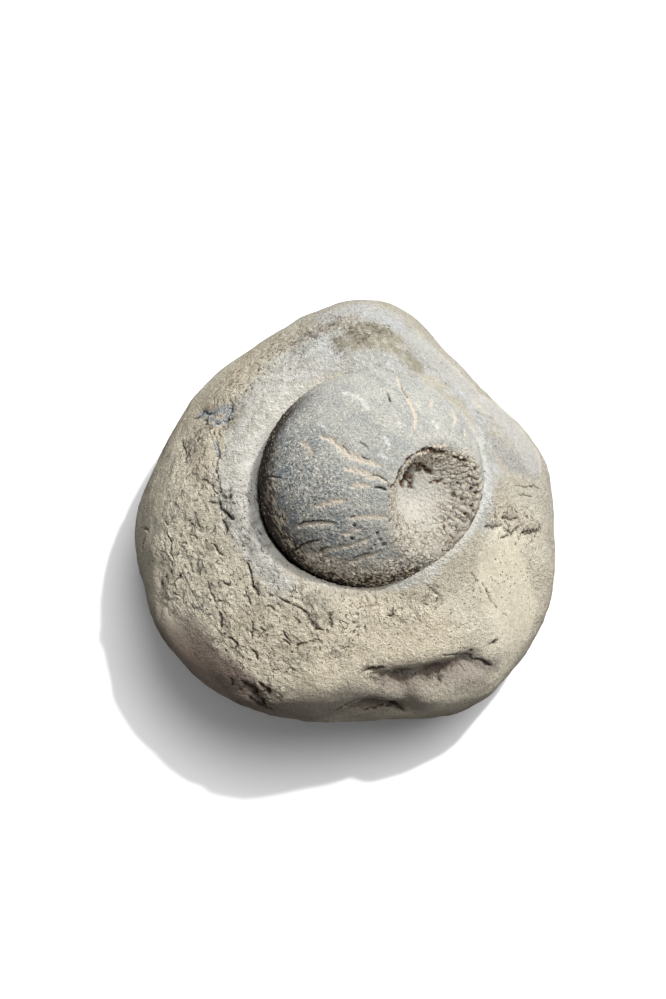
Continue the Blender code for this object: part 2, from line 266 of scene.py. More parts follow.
# Painted shade in the hollows, dark purplish brown
PURPLISH = (
    (((366, 669), (385, 668)), 0.8), (((392, 674), (406, 680)), 0.9),
    (((420, 672), (438, 665), (456, 661)), 1.0),
    (((352, 705), (368, 701), (386, 701), (400, 707)), 1.0),
    (((248, 686), (257, 699), (268, 710)), 2.0), (((236, 688), (246, 700)), 1.0),
)
HALO = (
    (((246, 525), (240, 500), (237, 470), (246, 430), (270, 395), (300, 370), (330, 350)), 5.0),
    (((284, 586), (270, 572), (257, 554), (248, 530)), 2.4),
    (((262, 400), (290, 370), (320, 345)), 6.0),
    (((415, 352), (455, 385), (480, 420), (492, 470), (484, 520)), 2.5),
    (((300, 340), (335, 322), (370, 316), (400, 328), (430, 350)), 2.1),
    (((330, 356), (350, 362), (378, 362), (404, 372)), 3.4),
)
# Chalky white, and painted highlights along the lit top edge and the facet's ridges
WHITISH = (
    (((446, 392), (468, 396), (490, 402)), 1.1), (((489, 464), (497, 470), (503, 476)), 1.1),
    (((325, 318), (364, 306), (395, 318)), 2.5), (((358, 307), (362, 315)), 0.8),
    (((385, 314), (405, 330), (425, 346)), 1.5), (((313, 330), (324, 345), (336, 361)), 0.5),
    (((331, 327), (343, 340)), 0.5), (((398, 586), (418, 580), (436, 570)), 1.4),
)
SPECKLED = ((((214, 398), (236, 374), (262, 350), (300, 332), (336, 318)), 4.6),)
OLIVE = (
    (((350, 340), (366, 334), (378, 338)), 3.6), (((382, 334), (396, 346), (412, 364)), 2.6),
    (((336, 320), (333, 328)), 1.0),
)
STAIN = (
    (((355, 330), (362, 337)), 2.6), (((337, 342), (342, 353)), 1.7),
    (((363, 324), (371, 324), (378, 331)), 1.2), (((386, 329), (387, 332)), 1.0),
)
# The small blue-black chip on the left, and the lines round it
CHIP = (
    (((201, 415), (205, 413), (211, 414)), 0.7), (((217, 424), (225, 420), (231, 414)), 0.9),
    (((216, 412), (226, 409), (232, 412)), 1.0), (((215, 443), (219, 454)), 0.55),
    (((208, 418), (214, 421)), 0.6),
)
CHIP_LINES = (
    (((194, 419), (201, 416), (205, 411), (209, 414), (214, 414)), 0.29, 0.3),
    (((204, 419), (208, 424), (211, 425)), 0.26, 0.3),
    (((214, 415), (216, 421), (219, 425)), 0.23, 0.3),
    (((224, 422), (228, 418), (231, 413), (230, 408)), 0.31, 0.3),
    (((209, 425), (211, 436), (214, 441)), 0.18, 0.2),
    (((195, 609), (199, 609), (203, 608)), 0.26, 0.1), (((201, 604), (203, 606)), 0.21, 0.1),
)
PORED = (
    (((335, 645), (380, 650), (430, 645), (460, 640)), 4.5), (((380, 620), (440, 625)), 4.0),
    (((470, 590), (500, 580), (530, 575)), 5.0), (((300, 655), (345, 665)), 3.0),
)
# The grounds of colour by the name that the material knows, with how far and over what size
# their edges are stirred
GROUNDS = (
    ("tan", TAN, 0.8, 2.5), ("dull", DULL, 2.0, 5.0), ("speckled", SPECKLED, 2.0, 4.0),
    ("pored", PORED, 2.0, 4.0), ("earthy", EARTHY, 2.0, 5.0), ("halo", HALO, 1.6, 3.0),
    ("whitish", WHITISH, 0.7, 1.6), ("olive", OLIVE, 1.6, 3.0), ("stain", STAIN, 0.9, 1.8),
    ("chip", CHIP, 0.4, 0.9),
)

# Grooves of the sponge, with buff infill: pixels, half width and depth in millimetres
GROOVES = (
    (((320, 436), (334, 441), (342, 449), (350, 455), (361, 460), (380, 465)), 0.65, 0.30),
    (((344, 468), (356, 471), (370, 474)), 0.59, 0.20),
    (((367, 478), (377, 476), (386, 481)), 0.55, 0.25),
    (((350, 487), (358, 484), (370, 487)), 0.52, 0.22),
    (((316, 506), (328, 503), (336, 501), (345, 501)), 0.59, 0.25),
    (((296, 527), (303, 525), (313, 524), (323, 524), (333, 524)), 0.52, 0.35),
    (((352, 519), (360, 517), (370, 517), (386, 518)), 0.65, 0.25),
    (((340, 535), (353, 532), (361, 529)), 0.47, 0.25),
    (((316, 554), (326, 551), (336, 549), (348, 546), (358, 543), (370, 539)), 0.55, 0.30),
    (((352, 563), (360, 559), (370, 556), (381, 551)), 0.47, 0.35),
    (((397, 376), (400, 386), (403, 391), (407, 396), (413, 409), (416, 417), (415, 430)),
     0.47, 0.28),
    (((433, 399), (431, 407)), 0.39, 0.25), (((452, 409), (455, 419), (453, 428)), 0.39, 0.32),
    (((464, 428), (465, 434), (464, 440)), 0.39, 0.30),
    (((300, 441), (308, 446), (312, 453)), 0.52, 0.15),
)
# Open slits and dots on its flank; some slits are painted shadow lines along the grooves' upper
# edges
SLITS = (
    (((375, 488), (380, 488), (387, 490)), 0.26, 0.9),
    (((288, 556), (294, 550), (302, 545), (311, 542), (321, 540)), 0.26, 0.7),
    (((296, 527), (299, 524), (307, 522), (318, 521), (327, 522), (334, 523)), 0.18, 0.5),
    (((319, 551), (327, 548), (331, 547)), 0.20, 0.5),
    (((352, 561), (357, 557), (365, 555), (374, 553)), 0.16, 0.5),
    (((351, 518), (355, 516), (361, 515)), 0.13, 0.4), (((387, 393), (391, 402)), 0.22, 0.6),
    (((359, 441), (365, 445), (370, 449)), 0.13, 0.3), (((359, 456), (370, 459)), 0.15, 0.3),
    (((372, 475), (380, 477), (386, 480)), 0.15, 0.4),
    (((333, 439), (343, 447), (350, 453)), 0.10, 0.2),
    (((262, 478), (272, 476), (281, 478)), 0.18, 0.4),
    (((401, 386), (404, 392), (409, 398)), 0.13, 0.3), (((452, 411), (454, 420)), 0.15, 0.4),
    (((464, 429), (465, 438)), 0.15, 0.4),
)
DOTS = (
    ((354, 526), 0.36, 0.6), ((352, 539), 0.36, 0.6), ((377, 533), 0.30, 0.6),
    ((380, 540), 0.22, 0.4), ((375, 545), 0.22, 0.4), ((384, 545), 0.42, 0.6),
    ((371, 549), 0.22, 0.4), ((311, 396), 0.36, 0.4), ((304, 399), 0.28, 0.4),
    ((283, 428), 0.36, 0.4), ((272, 452), 0.32, 0.4), ((277, 459), 0.28, 0.4),
    ((308, 393), 0.24, 0.3), ((316, 391), 0.24, 0.3), ((321, 388), 0.20, 0.3),
    ((300, 402), 0.24, 0.3),
)
# Cream grains low on the sponge's front
CREAMY = ((((316, 560), (350, 570), (388, 567)), 2.4),)
# White streaks on the sponge, and a painted highlight on one lit edge low on its left
WHITE_STREAKS = (
    (((342, 393), (356, 396), (363, 401), (368, 409)), 0.45), (((434, 422), (437, 427)), 0.5),
    (((399, 423), (400, 427)), 0.4), (((385, 438), (389, 444)), 0.5),
    (((380, 455), (386, 459)), 0.5), (((290, 555), (297, 550), (304, 545)), 0.24),
    (((318, 424), (328, 430)), 0.35), (((300, 487), (310, 489)), 0.35),
)
# Cavities of the mouth, and what is torn out of its upper wall and rim
MOUTH_HOLES = (
    ((407, 471), 0.6, 1.2), ((404, 478), 0.5, 1.0), ((411, 465), 0.4, 0.8), ((403, 485), 0.4, 0.6),
    ((421, 467), 0.4, 0.8), ((428, 473), 0.4, 0.8), ((433, 450), 0.5, 0.9), ((438, 452), 0.5, 0.8),
    ((412, 487), 0.40, 0.5), ((389, 497), 0.30, 0.5), ((388, 486), 0.30, 0.4),
    ((476, 469), 0.5, 0.8), ((453, 495), 0.45, 0.7), ((462, 500), 0.45, 0.7),
    ((471, 489), 0.5, 0.8), ((473, 480), 0.4, 0.6), ((473, 506), 0.40, 0.6),
    ((468, 518), 0.40, 0.7), ((449, 518), 0.35, 0.5), ((444, 526), 0.3, 0.4),
    ((457, 527), 0.30, 0.5), ((451, 536), 0.30, 0.6), ((451, 543), 0.30, 0.5),
    ((445, 484), 0.35, 0.5), ((458, 484), 0.40, 0.6), ((393, 508), 0.30, 0.4),
    ((391, 520), 0.30, 0.4), ((399, 500), 0.25, 0.3),
)
RAGGED_RIM = (
    (((402, 485), (404, 478), (408, 470), (410, 464)), 1.1, 1.1),
    (((398, 486), (400, 479), (405, 472)), 0.7, 0.7),
    (((408, 474), (411, 481), (411, 488)), 0.8, 0.8),
    (((414, 464), (421, 465), (426, 470), (431, 474)), 0.5, 0.8),
    (((410, 470), (416, 468), (421, 470)), 0.4, 0.6),
    (((396, 480), (399, 472), (406, 463)), 0.4, 0.5),
    (((391, 488), (397, 482), (401, 474)), 0.45, 0.8),
    (((404, 466), (409, 460), (414, 456)), 0.5, 0.8),
    (((418, 452), (430, 449), (436, 453), (446, 452)), 0.6, 0.9),
    (((452, 456), (462, 460), (473, 463)), 0.3, 0.5),
    (((428, 483), (436, 481), (444, 479)), 0.3, 0.5),
    (((464, 512), (468, 517), (471, 523)), 0.3, 0.6),
)
# How far up the sponge's flank brown soil and painted shade reach: degrees above its middle, every
# 30 deg from +X
SOIL_LINE = np.array((-30.0, -30.0, -30.0, 10.0, 28.0, 29.0, 27.0, 23.0, 18.0, 18.0, 16.0, -14.0))
# The ground on the sponge's back that soil and painted shade cover less: direction and half width in
# degrees
CLEANER_BACK = (128.0, 32.0)
# Which way the cobble's buff turns grey, and from where to where
GREYED_TOWARDS = np.array((0.6, 0.8, 0.0))
GREYED_OVER = (0.0, 34.0)
# The way that the cobble's cracks and scales mostly run, in plan
GRAIN_RUN = np.array((0.40, -0.92, 0.0))
# Sizes of the cobble's scales
SCALES, SMALL_SCALES = 3.0, 1.3
# Leaves of a direction only what is level
LEVEL = np.array((1.0, 1.0, 0.0))
# How far from its line the widest mark reaches, and what stands for farther than that
WIDEST_MARK = 12.0
FAR = 99.0
# Where the noise that stirs the marks starts, so that they fall the same way each time
STIR_SEED = 7


def smooth_step(low, high, value):
    t = np.clip((value - low) / (high - low), 0.0, 1.0)
    return t * t * (3.0 - 2.0 * t)


def lengths(vectors):
    return np.sqrt((vectors * vectors).sum(axis=1))


def units(vectors):
    return vectors / np.maximum(lengths(vectors), 1e-9)[:, None]


def lumps(points, size):
    """Smooth noise between -1 and 1, with lumps of this size in millimetres."""
    return np.array([noise.noise(spot) for spot in (points / size).tolist()])


def crumbs(points, size, octaves):
    """Rounded crumbs with sharp creases: about 0 in the creases and 1 on the crumbs."""
    return np.array([noise.turbulence(spot, octaves, True) for spot in (points / size).tolist()])


def wander(points, reach, size):
    """The points moved about a little, so that what is drawn by them runs as nature does."""
    moves = np.array([noise.noise_vector(spot) for spot in (points / size).tolist()])
    return points + reach * moves


def scales(points, size):
    """Scales along the grain: the gap to the next one, 0 on the edge, and each one's height."""
    gaps, heights = [], []
    drawn = points - 0.5 * (points @ GRAIN_RUN)[:, None] * GRAIN_RUN
    for spot in (drawn / size).tolist():
        reaches, seeds = noise.voronoi(spot)
        gaps.append(reaches[1] - reaches[0])
        tilt = noise.noise_vector(seeds[0] * 3.1).dot(Vector(spot) - seeds[0])
        heights.append(noise.noise(seeds[0] * 5.3) + 0.8 * tilt)
    return np.array(gaps), np.array(heights)


# Sight

def line_of_sight(pixel):
    """Where the sight of a pixel starts, and which way it runs."""
    across, down = (np.array(pixel) - PHOTO_MIDDLE) * PIXEL
    start = SIGHT_TARGET + SIGHT_BACK * SIGHT_DISTANCE
    aim = SIGHT_TARGET + SIGHT_RIGHT * across - SIGHT_UP * down - start
    return Vector(start), Vector(aim).normalized()


def cast(ground, pixels, spacing=4.0):
    """A line of pixels as points in millimetres on the ground, a few pixels apart."""
    pixels = np.array(pixels, float)
    close = [pixels[:1]]
    for here, there in zip(pixels[:-1], pixels[1:]):
        count = max(1, int(np.linalg.norm(there - here) / spacing))
        close.append(here + (there - here) * (np.arange(1, count + 1) / count)[:, None])
    hits = [ground.ray_cast(*line_of_sight(pixel))[0] for pixel in np.concatenate(close)]
    return np.array([hit for hit in hits if hit is not None])


def along(points, line):
    """Each point's distance from a line on the stone, and how far along the line it lies."""
    best = np.full(len(points), FAR)
    place = np.zeros(len(points))
    low, high = line.min(0) - WIDEST_MARK, line.max(0) + WIDEST_MARK
    close = np.flatnonzero(np.all((points > low) & (points < high), axis=1))
    spots = points[close]
    if len(line) == 1:
        best[close] = lengths(spots - line[0])
        place[close] = 0.5
        return best, place
    near = np.full(len(close), FAR)
    part = np.zeros(len(close))
    for step, (start, end) in enumerate(zip(line[:-1], line[1:])):
        run = end - start
        t = np.clip((spots - start) @ run / max(run @ run, 1e-9), 0.0, 1.0)
        reach = lengths(spots - start - t[:, None] * run)
        better = reach < near
        near[better] = reach[better]
        part[better] = (step + t[better]) / (len(line) - 1)
    best[close] = near
    place[close] = part
    return best, place


def carve(points, ground, marks, broken=0.0):
    """Depth of the marks at each point, and the painted shade in them, with breaks in the marks."""
    depth = np.zeros(len(points))
    shade = np.zeros(len(points))
    left = 1.0 - broken * smooth_step(0.05, -0.35, lumps(points, 1.1)) if broken else 1.0
    for pixels, half_width, deep in marks:
        reach, place = along(points, cast(ground, pixels))
        thin = half_width * (0.4 + 1.2 * np.sqrt(np.clip(place * (1.0 - place), 0.0, 0.25)))
        depth = np.maximum(depth, deep * np.exp(-(reach / thin) ** 2))
        shade = np.maximum(shade, smooth_step(1.4 * thin, 0.6 * thin, reach))
    return left * depth, left * shade


def sink(points, ground, holes):
    """The same for round holes, given by one pixel each."""
    return carve(points, ground, [((pixel,), *size) for pixel, *size in holes])


def spread(points, ground, grounds):
    """1 on the grounds, 0 off them."""
    field = np.zeros(len(points))
    for pixels, half_width in grounds:
        reach, _ = along(points, cast(ground, pixels, 8.0))
        field = np.maximum(field, 1.0 - smooth_step(0.55 * half_width, 1.35 * half_width, reach))
    return field


# Meshes

def deselect():
    for piece in bpy.context.selected_objects:
        piece.select_set(False)


def at_vertices(mesh, name):
    flat = np.empty(len(mesh.vertices) * 3)
    mesh.vertices.foreach_get(name, flat)
    return flat.reshape(-1, 3)


def take_form(mesh, points):
    """Moves the vertices to the points, and gives their normals there."""
    mesh.vertices.foreach_set("co", points.ravel())
    mesh.update()
    return at_vertices(mesh, "normal")


def corners(mesh):
    flat = np.empty(len(mesh.polygons) * 3, int)
    mesh.polygons.foreach_get("vertices", flat)
    return flat.reshape(-1, 3)


def directions_of(mesh):
    """Which way each vertex lies, while the mesh is still a ball."""
    return units(at_vertices(mesh, "co"))


def add_ball(name):
    deselect()
    bpy.ops.mesh.primitive_ico_sphere_add(subdivisions=6, radius=1.0)
    ball = bpy.context.object
    ball.name = name
    return ball


def refine(piece, form, wanted):
    """Quarters the faces that are wanted, by the place and slope they have once formed."""
    mesh = piece.data
    spots = form(directions_of(mesh))[corners(mesh)]
    slopes = units(np.cross(spots[:, 1] - spots[:, 0], spots[:, 2] - spots[:, 0]))
    chosen = wanted(spots.mean(axis=1), slopes)
    bpy.ops.object.mode_set(mode="EDIT")
    bpy.ops.mesh.select_mode(type="FACE")
    bpy.ops.mesh.select_all(action="DESELECT")
    bpy.ops.object.mode_set(mode="OBJECT")
    mesh.polygons.foreach_set("select", chosen)
    bpy.ops.object.mode_set(mode="EDIT")
    bpy.ops.mesh.subdivide(number_cuts=1)
    bpy.ops.mesh.select_all(action="SELECT")
    bpy.ops.mesh.quads_convert_to_tris(quad_method="BEAUTY", ngon_method="BEAUTY")
    bpy.ops.object.mode_set(mode="OBJECT")


def ground_of(piece, form):
    """What the sight of a pixel falls on: the piece's plain form."""
    spots = form(directions_of(piece.data))
    return BVHTree.FromPolygons(spots.tolist(), corners(piece.data).tolist())


def keep(mesh, **marks):
    """Stores each mark's value at each vertex, for the material to read."""
    for name, values in marks.items():
        attribute = mesh.attributes.new(name, "FLOAT", "POINT")
        attribute.data.foreach_set("value", np.clip(values, 0.0, 1.0).astype(np.float32))


# Forms

def all_round(values, angles):
    """What the values, evenly spaced round the cobble from +X, give at the angles between them."""
    count = len(values)
    place_on_curve = angles / (2.0 * math.pi) * count % count
    step = place_on_curve.astype(int)
    t = place_on_curve - step
    before, here, after, beyond = (values[(step + i) % count] for i in (-1, 0, 1, 2))
    return 0.5 * (2.0 * here + (after - before) * t
                  + (2.0 * before - 5.0 * here + 4.0 * after - beyond) * t ** 2
                  + (3.0 * here - before - 3.0 * after + beyond) * t ** 3)


def cobble_body(directions):
    """The plain cobble: points in millimetres for directions on the unit sphere."""
    level = np.hypot(directions[:, 0], directions[:, 1])
    angles = np.arctan2(directions[:, 1], directions[:, 0])
    ratio = all_round(PLAN_RADII, angles) * level ** LEVEL_FULLNESS / np.maximum(level, 1e-9)
    waist = WAIST_HEIGHT + (all_round(WAIST_HEIGHTS, angles) - WAIST_HEIGHT) * level ** 2
    rise = np.where(directions[:, 2] > 0.0, RISE_ABOVE_WAIST, DROP_BELOW_WAIST)
    height = rise * np.sign(directions[:, 2]) * np.abs(directions[:, 2]) ** FLANK_FULLNESS
    return np.column_stack((directions[:, 0] * ratio, directions[:, 1] * ratio, waist + height))


def wear_facets(points):
    """Draws what stands beyond a facet's plane most of the way back to it."""
    for normal, reach, wear in FACETS:
        beyond = (points - np.array((0.0, 0.0, WAIST_HEIGHT))) @ normal - reach
        at_edge = np.maximum(beyond + FACET_EDGE, 0.0) ** 2 / (4.0 * FACET_EDGE)
        points = points - normal * (wear * np.where(beyond > FACET_EDGE, beyond, at_edge))[:, None]
    return points


def slopes_of(body, directions):
    """Outward normals of a body, from its own form."""
    side = units(np.cross(directions, np.array((0.31, 0.22, 0.93))))
    other = np.cross(directions, side)
    step = 0.01
    run = body(units(directions + step * side)) - body(units(directions - step * side))
    rise = body(units(directions + step * other)) - body(units(directions - step * other))
    return units(np.cross(run, rise))


def fold_depth(points):
    """How far the folds push the surface in."""
    depth = np.zeros(len(points))
    for start, end, half_width, fold in FOLDS:
        start, run = np.array(start), np.array(end) - np.array(start)
        t = np.clip((points - start) @ run / (run @ run), 0.0, 1.0)
        depth += fold * np.exp(-(lengths(points - start - t[:, None] * run) / half_width) ** 2)
    return depth


def plan_reach(points):
    return np.hypot(points[:, 0] - SPONGE_CENTRE[0], points[:, 1] - SPONGE_CENTRE[1])


def plan_angle(points):
    return np.arctan2(points[:, 1] - SPONGE_CENTRE[1], points[:, 0] - SPONGE_CENTRE[0])


def cobble_form(directions):
    """The cobble as the solid has it, without its socket."""
    points = wear_facets(cobble_body(directions))
    normals = slopes_of(cobble_body, directions)
    folded = WEATHERING * lumps(points, WEATHERING_SIZE) - fold_depth(points)
    points = points + normals * folded[:, None]
    near = 1.0 - smooth_step(0.0, SKIRT_WIDTH, plan_reach(points) - SPONGE_RADIUS)
    rise = all_round(SKIRT_RISES, plan_angle(points)) * near
    points[:, 2] += np.where(points[:, 2] > WAIST_HEIGHT, rise, 0.0)
    points[:, 2] = np.maximum(points[:, 2], 0.0)
    return points


def mouth_angles(directions):
    """Angle from the mouth's axis, and round it from the picture's right, turning upwards."""
    right = SIGHT_RIGHT - MOUTH_AXIS * (SIGHT_RIGHT @ MOUTH_AXIS)
    right /= np.linalg.norm(right)
    up = np.cross(MOUTH_AXIS, right)
    polar = np.arccos(np.clip(directions @ MOUTH_AXIS, -1.0, 1.0))
    return polar, np.arctan2(directions @ up, directions @ right)


def bulge(directions):
    """How far the sponge swells towards the front left."""
    return SPONGE_BULGE * np.maximum(directions @ BULGE_TOWARDS, 0.0) ** 2


def sponge_form(directions):
    """The sponge as the solid has it, without its ribs and canals."""
    polar, _ = mouth_angles(directions)
    inward = 1.0 - smooth_step(0.1 * MOUTH_RIM, 1.08 * MOUTH_RIM, polar)
    upward = np.array((0.0, 0.0, 1.0)) - MOUTH_AXIS * MOUTH_AXIS[2]
    upward /= np.linalg.norm(upward)
    points = directions * (SPONGE_RADIUS + bulge(directions))[:, None]
    points = points + (upward * MOUTH_UPWARD_LEAN - MOUTH_AXIS * MOUTH_DEPTH) * inward[:, None]
    points[:, 2] *= np.where(points[:, 2] < 0.0, BURIED_FLATTENING, 1.0)
    return points + SPONGE_CENTRE


# The cobble

def socket_radius(points):
    """Reach of the socket's wall: the sponge's own, bulge and all, and the seam beside it."""
    angles = plan_angle(points)
    places, widths = zip(*SEAM)
    seam = np.interp(np.degrees(angles) % 360.0, places, widths)
    facing = np.maximum(np.column_stack((np.cos(angles), np.sin(angles))) @ BULGE_TOWARDS[:2], 0.0)
    return SPONGE_RADIUS + SPONGE_BULGE * facing ** 2 + seam


def socket_bowl(points):
    """Height of the socket's bowl at each point, and far above all outside the bowl."""
    wall_radius = socket_radius(points) + 0.12 * lumps(points, 1.5)
    reach = plan_reach(points)
    wall = np.sqrt(np.maximum(wall_radius ** 2 - reach ** 2, 0.0)) * BURIED_FLATTENING
    return np.where(reach < wall_radius, SPONGE_CENTRE[2] - wall, FAR)


def ring(points, away, half_width, strengths):
    """A ring on the ground round the sponge, as strong as it is given all round."""
    off = (plan_reach(points) - socket_radius(points) - away) / half_width
    return np.exp(-off ** 2) * all_round(strengths, plan_angle(points))


def shaded_front(points, directions):
    """The flank at the front left that turns away from the light, where shade is painted on."""
    body = slopes_of(cobble_body, directions)
    unlit = smooth_step(0.20, 0.04, body @ LIGHT_WAY + 0.10 * lumps(points, 2.5))
    return unlit * (0.15 + 0.85 * smooth_step(0.74, 0.95, units(body * LEVEL) @ FRONT_LEFT))


def cobble_relief(points, rough, worn):
    """Height of the stone's grain, with scales and short cracks where it is rough; painted shade in
    its crevices.
    """
    strayed = wander(wander(points, 0.7, 1.9), 0.2, 0.6)
    gap, height = scales(strayed, SCALES)
    small_gap, small_height = scales(strayed, SMALL_SCALES)
    parted = smooth_step(-0.05, 0.3, lumps(points, 4.0))
    calm = 1.0 - 0.85 * worn
    crumb = crumbs(points, 0.85, 2)
    relief = 0.28 * lumps(points, 6.0) + calm * 0.14 * lumps(points, 2.2)
    relief += rough * (0.17 * height + 0.17 * small_height)
    relief += (calm * (0.08 + 0.10 * rough) * crumb
               + calm * (0.05 + 0.05 * rough) * lumps(points, 0.5))
    crack = rough * parted * np.exp(-(gap / 0.06) ** 2)
    split = rough * (0.25 + 0.75 * parted) * np.exp(-(small_gap / 0.10) ** 2)
    return relief - 0.30 * crack - 0.16 * split, np.maximum(0.6 * crack, 0.4 * split)


def shape_cobble(cobble, ground):
    mesh = cobble.data
    directions = directions_of(mesh)
    points = cobble_form(directions)
    normals = take_form(mesh, points)
    strayed = wander(wander(points, 0.40, 1.6), 0.16, 0.5)

    rough = spread(wander(points, 2.0, 6.0), ground, ROUGH)
    worn = spread(wander(points, 1.5, 5.0), ground, WORN)
    depth, shade = carve(strayed, ground, CRACKS, 0.2)
    pit, pit_shade = sink(strayed, ground, PITS)
    swelling, _ = sink(points, ground, SWELLINGS)
    chip_depth, chip_shade = carve(wander(strayed, 0.2, 0.6), ground, CHIP_LINES, 0.5)
    relief, crevice = cobble_relief(points, rough, worn)
    hollow = np.maximum(fold_depth(points), 0.0)
    unlit = shaded_front(points, directions)
    collar = ring(points, *COLLAR)
    # painted light: the ground left of the sponge made lighter where the sponge's shadow falls
    bleached = ring(points, *BLEACHED)
    relief = relief + COLLAR_HEIGHT * collar + swelling - depth - pit - chip_depth
    points = points + normals * relief[:, None]

    bowl = socket_bowl(points)
    buried = (points[:, 2] > WAIST_HEIGHT) & (points[:, 2] > bowl)
    points[:, 2] = np.where(buried, bowl, points[:, 2])
    points[:, 2] = np.maximum(points[:, 2], 0.0)
    final_normals = take_form(mesh, (points + TO_FRAME) * MM)

    # Painted shade: darker on low sides that face down, in the folds, and on the ground under the
    # sponge
    low = smooth_step(20.0, 10.0, points[:, 2]) * smooth_step(0.5, 0.0, final_normals[:, 2])
    hollow *= 0.14 * (1.0 + 0.9 * lumps(points, 2.0))
    hollows = spread(wander(points, 1.0, 1.3), ground, PURPLISH)
    back_right = smooth_step(*GREYED_OVER, points @ GREYED_TOWARDS)
    grounds = {name: spread(wander(points, reach, size), ground, lines)
               for name, lines, reach, size in GROUNDS}
    keep(mesh, rough=rough, worn=worn, collar=collar, bleached=bleached, chip_line=chip_shade,
         patina=np.maximum.reduce((low, hollow, 1.0 * buried)),
         # painted shade: purplish brown on the front left flank that turns from the light, and in
         # the hollows
         purplish=np.maximum(0.75 * hollows, unlit),
         greyed=np.maximum(back_right, 0.2 * smooth_step(10.0, 26.0, points[:, 0])),
         # painted shade in the cracks, pits and crevices
         dark=np.maximum.reduce((shade, pit_shade, crevice)), **grounds)


def make_cobble():
    cobble = add_ball("cobble")
    ground = ground_of(cobble, cobble_form)
    lines = [cast(ground, pixels) for pixels, _, _ in CRACKS + CHIP_LINES]
    lines += [cast(ground, (pixel,)) for pixel, _, _ in PITS]

    def clear_of_sponge(spots):
        return plan_reach(spots) > SPONGE_RADIUS - 1.0

    def sides_and_top(spots, slopes):
        return (spots[:, 2] > 5.0) & clear_of_sponge(spots)

    def in_sight(spots, slopes):
        return (slopes @ SIGHT_BACK > 0.10) & (spots[:, 2] > 6.0) & clear_of_sponge(spots)

    def finely_marked(spots, slopes):
        near = np.full(len(spots), FAR)
        for line in lines:
            near = np.minimum(near, along(spots, line)[0])
        at_seam = np.abs(plan_reach(spots) - SPONGE_RADIUS - 0.3) < 0.5
        return ((near < 0.35) | at_seam) & in_sight(spots, slopes)

    for wanted in (sides_and_top, in_sight, finely_marked):
        refine(cobble, cobble_form, wanted)
    shape_cobble(cobble, ground)
    return cobble


# The sponge

def side_of_mouth(degrees, middle, half_width):
    return np.exp(-((degrees - middle) / half_width) ** 2)


def mouth_relief(directions, points):
    """The mouth's ribs of beads, as a height; its inside; its torn wall; the painted shade in its
    gaps.
    """
    polar, around = mouth_angles(directions)
    part = polar / MOUTH_RIM
    degrees = np.degrees(around)
    swing, stir = lumps(points, 2.8), lumps(points, 1.0)
    reach = all_round(RIBBED_REACH, around) + 0.12 * lumps(points, 1.5)
    inside = 1.0 - smooth_step(-0.14, 0.08, part - reach)
    rib_place = RIB_COUNT * around / (2.0 * math.pi) + 0.45 * swing + 0.34 * stir
    across = 2.0 * np.abs(rib_place - np.round(rib_place))
    bead_place = part * RIB_LENGTH / BEAD_LENGTH + 0.5 * (np.round(rib_place) % 2.0)
    bead_place += 0.5 * swing + 0.5 * stir
    lengthwise = 2.0 * np.abs(bead_place - np.round(bead_place))
    bead = np.sqrt(np.maximum(1.0 - 0.9 * across ** 2 - 0.75 * lengthwise ** 2, 0.0))
    comb = side_of_mouth(degrees, *COMB_OF_RIBS) * smooth_step(0.55, 0.9, part)
    wall = side_of_mouth(degrees, *TORN_WALL) * smooth_step(0.2, 0.45, part)
    raised = inside * smooth_step(0.2, 0.7, part) * (1.0 - 0.7 * wall)
    slot = comb * inside * across ** 3
    uneven = 0.6 + 0.6 * lumps(points + 40.0, 1.8)
    relief = -raised * (0.42 + 0.25 * comb) * (1.0 - bead) * uneven - 0.5 * slot * uneven
    dark = np.maximum(raised * (0.35 + 0.5 * comb) * smooth_step(0.55, 0.0, bead), slot) * uneven
    return relief, inside, wall * inside, dark


def streaks(directions):
    """Faint streaks that run out from the mouth, from 0 to 1."""
    polar, around = mouth_angles(directions)
    spots = np.column_stack((np.cos(around), np.sin(around), 0.12 * polar)) * 9.0
    return 0.5 + 0.5 * lumps(spots, 1.0)


def soil_cover(points, directions, inside):
    """Soil and painted shade on the flank below its line, less of both at the back."""
    angles = plan_angle(points)
    middle, half_width = CLEANER_BACK
    rise = np.degrees(np.arcsin(directions[:, 2])) - all_round(SOIL_LINE, angles)
    soil = smooth_step(7.0, -9.0, rise + 7.0 * lumps(points, 3.0)) * (1.0 - inside)
    return soil * (1.0 - 0.45 * np.exp(-((np.degrees(angles) - middle) / half_width) ** 2))


